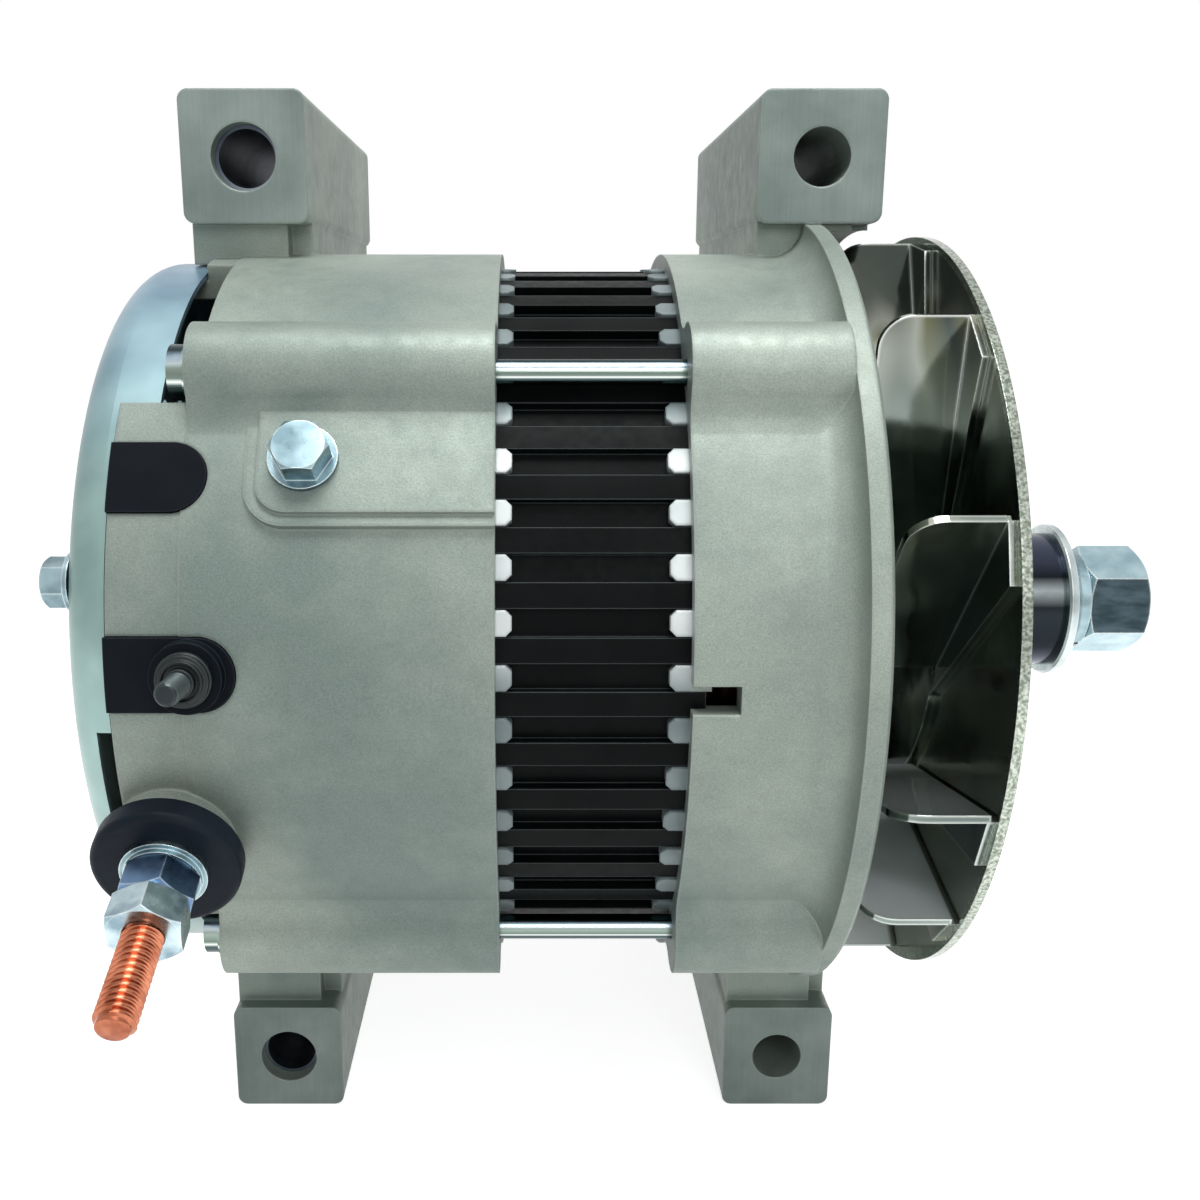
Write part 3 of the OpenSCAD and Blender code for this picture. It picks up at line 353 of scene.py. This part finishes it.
def fan_finish():
    """Bright plate on rolled sheet: painted dark reflections, with the thin light streaks of
    painted reflections.
    """
    finish = Finish("fan_plating")
    waves = finish.noise(30, 1.5, 0.4, stretch=(1, 1, 0.6))
    # The dark sheet and its light streaks are painted reflections.
    dark = (0.035, 0.045, 0.042)
    painted_reflection_streaks = [
        (0.0, (0.09, 0.1, 0.09)),
        (0.34, dark),
        (0.42, (0.07, 0.08, 0.07)),
        (0.45, (0.22, 0.23, 0.2)),
        (0.47, (0.09, 0.09, 0.05)),
        (0.53, dark),
        (0.6, (0.09, 0.09, 0.06)),
        (0.63, (0.5, 0.52, 0.4)),
        (0.66, (0.06, 0.065, 0.05)),
    ]
    # Lower down, the sheet gets lighter tones: painted light in the shaded gap.
    painted_lower_light = [(0.3, (0.16, 0.2, 0.19)), (0.55, (0.26, 0.3, 0.27)), (0.64, (0.5, 0.5, 0.4))]
    painted_pale_reflection = [(0.3, (0.85, 0.9, 0.9)), (0.5, (0.75, 0.82, 0.84)), (0.62, (0.4, 0.46, 0.42))]
    below_top = finish.band("Z", 0.08, 0.05)
    sheet = finish.blend(below_top, finish.ramp(waves, painted_reflection_streaks), finish.ramp(waves, painted_lower_light))

    # The lowest blades' upper faces get a pale colour: a painted reflection of the bright
    # surroundings.
    low_blades = finish.both(finish.facing("Z", 0.2, 0.5), finish.band("Z", -0.012, -0.03))
    sheet = finish.blend(low_blades, sheet, finish.ramp(waves, painted_pale_reflection))
    shine = finish.rise(low_blades, 0.0, 1.0, 1.0, 0.15)
    finish.link(shine, finish.shader.inputs["Metallic"])
    # The edges get a painted highlight.
    finish.colour(finish.blend(finish.edges(0.0011, 0.9), sheet, finish.plain((0.6, 0.63, 0.6))))
    finish.roughness(300, 0.08, 0.13)
    finish.bumps([(finish.noise(60, 1), 0.2, 0.002)], edge=0.0003)
    return finish.material


def disc_finish():
    """The fan's disc: its inner face is painted with a dark reflection of the gap that it looks
    into, lighter lower down; the rest is bright.
    """
    finish = Finish("disc_plating")
    gap_noise = finish.noise(22)
    painted_gap_reflection = finish.patches(gap_noise, (0.05, 0.062, 0.055), (0.13, 0.14, 0.1), 0.35, 0.62)
    painted_low_gap_reflection = finish.patches(gap_noise, (0.2, 0.24, 0.21), (0.36, 0.37, 0.28), 0.35, 0.62)
    inner_face = finish.blend(finish.band("Z", 0.08, 0.05), painted_gap_reflection, painted_low_gap_reflection)
    outer_face = finish.patches(finish.noise(30, 5), (0.4, 0.44, 0.41), (0.52, 0.56, 0.53))
    outer = finish.band("X", DISC_OUTER - 0.0006, DISC_OUTER - 0.0003)
    faces = finish.blend(outer, inner_face, outer_face)
    rim_grain = finish.noise(1400, 3)
    rim_tone = finish.patches(rim_grain, (0.17, 0.2, 0.16), (0.46, 0.5, 0.44), 0.38, 0.62)
    rim = finish.ring(DISC_RIM_R, DISC_RIM_R + 0.0004)
    finish.colour(finish.blend(rim, faces, rim_tone))
    finish.put("Metallic", 1.0)
    finish.roughness(300, 0.12, 0.2)
    finish.bumps([(finish.noise(60, 1), 0.15, 0.001)], edge=0.0003)
    return finish.material


def cover_finish():
    """Zinc on the pressed cover, bluer towards its top."""
    finish = Finish("zinc_plating")
    tone = finish.patches(finish.noise(30, 4), (0.17, 0.27, 0.255), (0.34, 0.49, 0.465))
    tint = finish.patches(finish.noise(40, 3), (0.13, 0.24, 0.34), (0.3, 0.46, 0.56))
    finish.colour(finish.blend(finish.band("Z", 0.045, 0.09), tone, tint))
    finish.put("Metallic", 0.6)
    finish.roughness(20, 0.28, 0.33)
    return finish.material


def rod_finish():
    """Bright plated rods, with painted reflections: dark below and above, with painted light lines.
    """
    finish = Finish("tie_plating")
    dark = (0.03, 0.05, 0.055)
    painted_reflection_bands = [
        (0.0, dark),
        (0.3, (0.06, 0.09, 0.09)),
        (0.36, (0.62, 0.67, 0.64)),
        (0.42, (0.12, 0.16, 0.14)),
        (0.6, (0.24, 0.3, 0.26)),
        (0.68, (0.5, 0.58, 0.6)),
        (0.78, (0.3, 0.38, 0.45)),
        (0.9, dark),
    ]
    # The colour follows the way the surface faces up or down: painted highlights and painted dark
    # reflections.
    finish.colour(finish.ramp(finish.facing("Z", -1, 1), painted_reflection_bands))
    finish.put("Metallic", 1.0)
    finish.roughness(400, 0.14, 0.24)
    finish.bumps([(finish.noise(500), 0.05, 0.0002)])
    return finish.material


def sleeve_finish():
    """The polished sleeve: near black, with one painted soft highlight line, and painted bluish
    reflections at top and bottom.
    """
    finish = Finish("mirror_steel")
    painted_blue_reflection = (0.055, 0.065, 0.1)
    dark = (0.012, 0.016, 0.02)
    painted_reflection_bands = [
        (0.0, painted_blue_reflection),
        (0.2, dark),
        (0.55, (0.02, 0.026, 0.03)),
        (0.68, (0.3, 0.34, 0.35)),
        (0.78, dark),
        (1.0, painted_blue_reflection),
    ]
    # The colour follows the height: a painted highlight line and painted reflections.
    height = finish.band("Z", SHAFT.z - 0.01535, SHAFT.z + 0.01565)
    finish.colour(finish.ramp(height, painted_reflection_bands))
    finish.put("Metallic", 1.0)
    finish.roughness(400, 0.12, 0.2)
    finish.dents()
    return finish.material


def nut_finish():
    """Blue zinc with painted highlights along its edges; the flat that looks to the front gets a
    painted dark reflection.
    """
    finish = Finish("nut_zinc")
    tone = finish.patches(finish.noise(130, 3), (0.27, 0.4, 0.45), (0.42, 0.56, 0.6))
    brush = finish.noise(500, 3, stretch=(0.3, 1, 1))
    painted_dark_flat = finish.patches(brush, (0.035, 0.055, 0.066), (0.075, 0.11, 0.13), 0.35, 0.65)
    # The front flat gets a painted dark reflection, and the edges a painted highlight.
    tone = finish.blend(finish.facing("Y", -0.85, -0.95), tone, painted_dark_flat)
    finish.colour(finish.blend(finish.edges(0.0007), tone, finish.plain((0.75, 0.82, 0.82))))
    finish.put("Metallic", 1.0)
    finish.roughness(400, 0.2, 0.3)
    finish.dents()
    return finish.material


def moulded(name, colour, rough, gloss=0.3, edge_highlight=None, edge_highlight_width=0.0004):
    """Moulded plastic or paint, with small changes of tone, a fine skin and, when given, painted
    highlights along its edges.
    """
    finish = Finish(name)
    light = tuple(c * 1.5 + 0.003 for c in colour)
    tone = finish.patches(finish.noise(60, 4), colour, light, 0.35, 0.75)
    if edge_highlight:
        tone = finish.blend(finish.edges(edge_highlight_width, 0.8), tone, finish.plain(edge_highlight))
    finish.colour(tone)
    finish.put("Specular IOR Level", gloss)
    finish.roughness(500, rough * 0.85, rough * 1.15)
    finish.bumps([(finish.noise(1500), 0.15, 0.0001)], edge=0.0004)
    return finish.material


steel = plated("turned_steel", (0.5, 0.53, 0.55), (0.4, 0.43, 0.45), rough=0.28)
copper = plated("copper", (0.56, 0.21, 0.12), (0.25, 0.07, 0.035), rough=0.22, tint_scale=160)
# The rim colours are painted highlights along the edges.
dark_steel = plated(
    "dark_steel", (0.035, 0.042, 0.045), (0.014, 0.018, 0.02),
    rough=0.4, rim=(0.09, 0.11, 0.11),
)
blue_zinc = plated(
    "blue_zinc", (0.32, 0.44, 0.48), (0.13, 0.2, 0.23),
    rough=0.3, tint_scale=130, rim=(0.68, 0.76, 0.76),
)

slot_finishes = {
    "cast_aluminium": blasted_casting(),
    "zinc_plate": cover_finish(),
    "bright_plate": fan_finish(),
    "steel": steel,
    # The pale edges given to the moulded finishes are painted highlights.
    "stator_black": moulded(
        "stator_paint", (0.0016, 0.0024, 0.0026), rough=0.4, gloss=0.05, edge_highlight=(0.1, 0.12, 0.12)
    ),
    "copper": copper,
    "black_plastic": moulded(
        "black_mould", (0.003, 0.0045, 0.007), rough=0.5, gloss=0.06, edge_highlight=(0.03, 0.04, 0.05)
    ),
    "dark_steel": dark_steel,
    "ivory_plastic": moulded("ivory_mould", (0.5, 0.46, 0.36), rough=0.5),
    "brown_plastic": moulded("brown_mould", (0.12, 0.05, 0.02), rough=0.5),
    "plain_aluminium": plated(
        "bare_aluminium", (0.6, 0.62, 0.61), (0.5, 0.52, 0.51), rough=0.35
    ),
    "carbon": moulded("carbon", (0.03, 0.03, 0.03), rough=0.6),
}
for part in frame["record"]["subparts"]:
    dress(nodes[part["node"]], slot_finishes[part["material_slot"]])

own_finishes = {
    "fan_disc": disc_finish(),
    "pulley_spacer": sleeve_finish(),
    "through_bolts": rod_finish(),
    # The insulator's pale edges are a painted highlight.
    "output_insulator": moulded(
        "blue_black_mould", (0.006, 0.01, 0.016),
        rough=0.45, gloss=0.08, edge_highlight=(0.03, 0.045, 0.06), edge_highlight_width=0.001,
    ),
    # The rim colours of these plated finishes are painted highlights along the edges.
    "output_lower_nut": plated(
        "blued_steel", (0.13, 0.21, 0.34), (0.06, 0.11, 0.2),
        rough=0.3, tint_scale=80, rim=(0.5, 0.6, 0.66),
    ),
    # The upper nut is lighter than the lower one: painted light on its lit top.
    "output_upper_nut": plated(
        "zinc_painted_lit", (0.52, 0.64, 0.68), (0.2, 0.29, 0.34),
        rough=0.25, tint_scale=150, rim=(0.8, 0.85, 0.85),
    ),
    # The cone washer's bright rim is a painted highlight.
    "cone_washer": plated(
        "cone_steel", (0.6, 0.66, 0.66), (0.3, 0.36, 0.37),
        rough=0.2, tint_scale=90, rim=(0.85, 0.88, 0.86),
    ),
    "mount_bushings": plated(
        "bush_steel", (0.2, 0.23, 0.26), (0.06, 0.075, 0.1),
        rough=0.42, tint_scale=60, wavy=False,
    ),
    "stator_winding": plated(
        "varnished_winding", (0.03, 0.016, 0.008), (0.012, 0.006, 0.004), rough=0.35
    ),
    "output_washers": blue_zinc,
    "cover_screws": blue_zinc,
    "pad_bolt": blue_zinc,
    "spring_washer": blue_zinc,
}
for name, finish in own_finishes.items():
    dress(nodes[name], finish)


# Terminal studs with their threads


def threaded_stud(name, station, angle, start, end, radius, pitch, finish):
    """A stud between two distances from the shaft: a core with a rounded tip, and its thread."""
    depth = pitch * 0.55
    length = end - start
    drop_selection()
    bpy.ops.mesh.primitive_cylinder_add(vertices=48, radius=radius - depth, depth=length)
    core = bpy.context.object
    bpy.ops.object.mode_set(mode="EDIT")
    bpy.ops.mesh.select_all(action="DESELECT")
    bpy.ops.object.mode_set(mode="OBJECT")
    for face in core.data.polygons:
        face.select = face.normal.z > 0.9
    bpy.ops.object.mode_set(mode="EDIT")
    bpy.ops.mesh.bevel(offset=radius * 0.12, segments=3, affect="EDGES")
    bpy.ops.object.mode_set(mode="OBJECT")

    # The ridge is a triangle, wide enough for its turns to meet.
    turns = int((length - pitch) / pitch)
    bpy.ops.mesh.primitive_circle_add(vertices=3, radius=pitch * 0.56)
    ridge = bpy.context.object
    ridge.rotation_euler = (math.pi / 2, 0, 0)
    bpy.ops.object.transform_apply(location=False, rotation=True, scale=False)
    ridge.data.transform(Matrix.Rotation(math.pi / 2, 4, "Y"))
    crest = max(v.co.x for v in ridge.data.vertices)
    first_turn = length / 2 - pitch * (turns + 0.65)
    ridge.data.transform(Matrix.Translation((radius - crest, 0, first_turn)))
    wind = ridge.modifiers.new("thread", "SCREW")
    wind.axis = "Z"
    wind.angle = math.tau
    wind.screw_offset = pitch
    wind.iterations = turns
    wind.steps = 32
    wind.render_steps = 32
    wind.use_merge_vertices = True
    apply_modifiers(ridge)

    stud = join([core, ridge], name)
    bpy.ops.object.mode_set(mode="EDIT")
    bpy.ops.mesh.select_all(action="SELECT")
    bpy.ops.mesh.normals_make_consistent(inside=False)
    bpy.ops.object.mode_set(mode="OBJECT")
    stud.rotation_euler = upright(angle)
    stud.location = SHAFT + Vector((station, 0, 0)) + outward(angle) * (start + length / 2)
    settle(stud)
    smooth(35)
    dress(stud, finish)
    return stud


output_thread = threaded_stud(
    "output_thread", OUTPUT_X, OUTPUT_ANGLE,
    start=0.0665, end=0.1315, radius=0.004, pitch=0.00145, finish=copper,
)
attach(output_thread, "housing")
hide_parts("output_stud")

signal_thread = threaded_stud(
    "signal_thread", SIGNAL_X, SIGNAL_ANGLE,
    start=0.0761, end=0.1015, radius=0.0024, pitch=0.0008, finish=dark_steel,
)
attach(signal_thread, "housing")
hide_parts("signal_stud")


# The shaft nut, a copy turned on the shaft until one flat looks to the front


def merged_copy(node, name):
    """A copy of a node as one closed mesh, for a piece that takes the node's place."""
    copy = nodes[node].copy()
    copy.data = nodes[node].data.copy()
    copy.name = name
    copy.data.name = name
    bpy.context.scene.collection.objects.link(copy)
    pick(copy)
    bpy.ops.object.mode_set(mode="EDIT")
    bpy.ops.mesh.select_all(action="SELECT")
    bpy.ops.mesh.remove_doubles(threshold=0.000005)
    bpy.ops.mesh.dissolve_limited(angle_limit=math.radians(1))
    bpy.ops.mesh.customdata_custom_splitnormals_clear()
    bpy.ops.object.mode_set(mode="OBJECT")
    return copy


nut = merged_copy("shaft_nut", "turned_shaft_nut")
flat_to_front = Matrix.Rotation(math.radians(-12), 4, "X")
nut.data.transform(Matrix.Translation(SHAFT) @ flat_to_front @ Matrix.Translation(-SHAFT))
smooth(20)
dress(nut, nut_finish())
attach(nut, "rotor")
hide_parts("shaft_nut")


# The brush springs, as steel copies that take their nodes' places, each with a mesh of its own; the
# real springs shorten against the top of their holder as a brush is pushed in.

for side in ("inner", "outer"):
    node = side + "_brush_spring"
    spring = merged_copy(node, side + "_brush_coil")
    smooth(50)
    dress(spring, steel)
    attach(spring, "housing")
    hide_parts(node)
    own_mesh(spring)


# The collar under the small terminal's stud: round steps with a hollow face


def select_end(piece):
    """Selects the face that ends a new round piece at its top."""
    pick(piece)
    bpy.ops.object.mode_set(mode="EDIT")
    bpy.ops.mesh.select_mode(type="FACE")
    bpy.ops.mesh.select_all(action="DESELECT")
    bpy.ops.object.mode_set(mode="OBJECT")
    end = max(piece.data.polygons, key=lambda face: face.center.z)
    end.select = True
    bpy.ops.object.mode_set(mode="EDIT")


def raise_end(height, inset):
    """Draws the selected end in by the inset, then moves it out or in by the height."""
    bpy.ops.mesh.inset(thickness=inset)
    bpy.ops.mesh.extrude_region_move(TRANSFORM_OT_translate={"value": (0, 0, height)})


def round_edges(piece, width):
    corner = piece.modifiers.new("rounding", "BEVEL")
    corner.width = width
    corner.segments = 2
    corner.limit_method = "ANGLE"
    corner.angle_limit = math.radians(30)
    apply_modifiers(piece)


# How far each step of the collar rises or sinks, and how far it draws in first
COLLAR_STEPS = ((0.0011, 0.0003), (0.0010, 0.0009), (-0.0009, 0.0007), (0.0016, 0.0007))
COLLAR_DISTANCE = 0.0897

drop_selection()
bpy.ops.mesh.primitive_cylinder_add(vertices=64, radius=0.0054, depth=0.0014)
collar = bpy.context.object
collar.name = "stepped_collar"
select_end(collar)
for height, inset in COLLAR_STEPS:
    raise_end(height, inset)
bpy.ops.object.mode_set(mode="OBJECT")
round_edges(collar, 0.00012)
collar.rotation_euler = upright(SIGNAL_ANGLE)
collar.location = SHAFT + Vector((SIGNAL_X, 0, 0)) + outward(SIGNAL_ANGLE) * COLLAR_DISTANCE
settle(collar)
smooth(35)
# The collar's pale edges are a painted highlight.
dress(
    collar,
    moulded("collar_black", (0.004, 0.006, 0.007), rough=0.35, edge_highlight=(0.045, 0.06, 0.06)),
)
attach(collar, "housing")
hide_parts("signal_collar")


# Floor, light and camera


def ray_strength(tree, background, light):
    """Gives camera, glossy and clear rays the background's strength, and all others the light's."""
    path = tree.nodes.new("ShaderNodeLightPath")
    seen = path.outputs["Is Camera Ray"]
    for ray in ("Is Glossy Ray", "Is Transmission Ray"):
        either = tree.nodes.new("ShaderNodeMath")
        either.operation = "MAXIMUM"
        tree.links.new(seen, either.inputs[0])
        tree.links.new(path.outputs[ray], either.inputs[1])
        seen = either.outputs[0]
    mix = tree.nodes.new("ShaderNodeMapRange")
    mix.inputs["To Min"].default_value = light
    mix.inputs["To Max"].default_value = background
    tree.links.new(seen, mix.inputs["Value"])
    return mix.outputs["Result"]


world = bpy.data.worlds.new("studio")
bpy.context.scene.world = world
world.use_nodes = True
backdrop = world.node_tree.nodes["Background"]
backdrop.inputs["Color"].default_value = (1, 1, 1, 1)
strength = ray_strength(world.node_tree, 1.0, 0.24)
world.node_tree.links.new(strength, backdrop.inputs["Strength"])

drop_selection()
bpy.ops.mesh.primitive_plane_add(size=6, location=(0, 0, FLOOR_Z))
floor = bpy.context.object
floor.name = "floor"
paper = bpy.data.materials.new("white_paper")
paper.use_nodes = True
paper_shader = paper.node_tree.nodes["Principled BSDF"]
paper_shader.inputs["Base Color"].default_value = (0.9, 0.9, 0.9, 1)
paper_shader.inputs["Roughness"].default_value = 0.9
paper_shader.inputs["Emission Color"].default_value = (1, 1, 1, 1)
strength = ray_strength(paper.node_tree, 0.8, 0.0)
paper.node_tree.links.new(strength, paper_shader.inputs["Emission Strength"])
dress(floor, paper)


def soft_light(name, place, power):
    """A square light of half a metre that looks at the middle of the part."""
    lamp = bpy.data.lights.new(name, "AREA")
    lamp.shape = "SQUARE"
    lamp.size = 0.5
    lamp.energy = power
    holder = bpy.data.objects.new(name, lamp)
    bpy.context.scene.collection.objects.link(holder)
    holder.location = place
    aim = Vector((0.03, -0.09, 0.0)) - Vector(place)
    holder.rotation_euler = aim.to_track_quat("-Z", "Y").to_euler()


soft_light("top_light", (0.05, -0.33, 0.9), 8)
soft_light("front_light", (0.16, -1.0, 0.5), 2.4)

# The photograph's own camera, as fitted to the part
CAMERA_TILT = 13.2447
camera = bpy.data.objects.new("camera", bpy.data.cameras.new("camera"))
bpy.context.scene.collection.objects.link(camera)
camera.location = (0.0, -0.402328, 0.080553)
camera.rotation_euler = (math.radians(90 - CAMERA_TILT), 0, 0)
camera.data.sensor_width = 36
camera.data.lens = 36.852
camera.data.shift_x = 0.05593
camera.data.clip_start = 0.01
bpy.context.scene.camera = camera

bpy.context.scene.view_settings.view_transform = "Standard"
